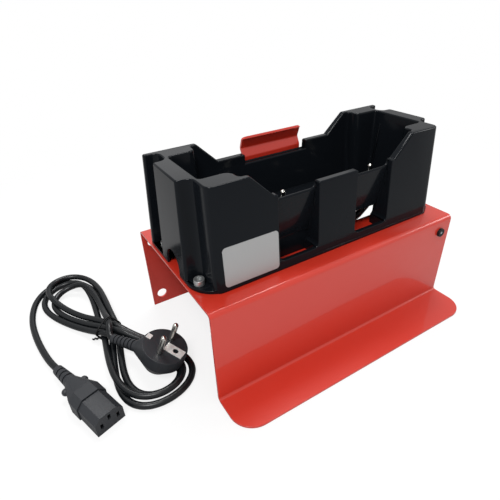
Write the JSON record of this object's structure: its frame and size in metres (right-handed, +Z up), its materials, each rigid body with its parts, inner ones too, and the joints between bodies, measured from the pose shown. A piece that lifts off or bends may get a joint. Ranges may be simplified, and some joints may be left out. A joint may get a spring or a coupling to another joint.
{
  "type": "battery charging cradle",
  "caption": "Open-topped cradle that holds and charges a portable battery, on a folded steel bracket with shelf and wall holes, with a tied mains lead.",
  "frame": {"origin": "on the surface the bracket stands on, in the middle of the bracket's length and depth", "axes": "+X along the bracket to the right seen from the shelf, +Y from the shelf to the back wall, +Z up"},
  "size_m": [0.378, 0.2892, 0.173],
  "materials": {
    "red_coat": "glossy powder coat",
    "black_moulding": "smooth moulded plastic",
    "black_part": "fine texture",
    "module_plastic": "fine texture",
    "label": "satin, bare",
    "lens": "clear grey, smooth",
    "zinc": "zinc plated",
    "contact": "nickel plated",
    "pin_metal": "nickel plated",
    "board": "solder mask",
    "core": "varnished steel sheets",
    "sleeve": "shrunk sleeve",
    "fin": "extruded",
    "lead_sheath": "satin flexible plastic",
    "lead_moulding": "satin flexible plastic"
  },
  "bodies": {
    "root": {"bracket": "red_coat", "cradle": "black_moulding", "keeper_plate": "red_coat", "keeper_screws": "zinc", "keeper_nuts": "zinc", "cradle_screws": "zinc", "cradle_nuts": "zinc", "label_plate": "label", "lamp_bezel": "black_part", "lamp_lens": "lens", "lamp_nut": "zinc", "contact_rail": "black_part", "contact_pins": "contact", "contact_screws": "zinc", "output_lead": "lead_sheath", "module_case": "module_plastic", "module_cover": "module_plastic", "module_screws": "zinc", "cover_screws": "zinc", "circuit_board": "board", "transformer": "core", "capacitors": "sleeve", "heat_sink": "fin", "mains_inlet": "black_part", "inlet_blades": "pin_metal", "inlet_screws": "zinc", "lead_connector": "lead_moulding", "connector_relief": "lead_moulding", "lead_tail": "lead_sheath", "lead_hank": "lead_sheath", "lead_tie": "black_part", "plug_tail": "lead_sheath", "plug_relief": "lead_moulding", "plug_body": "lead_moulding", "plug_pins": "pin_metal", "earth_strips": "pin_metal"}
  },
  "joints": []
}
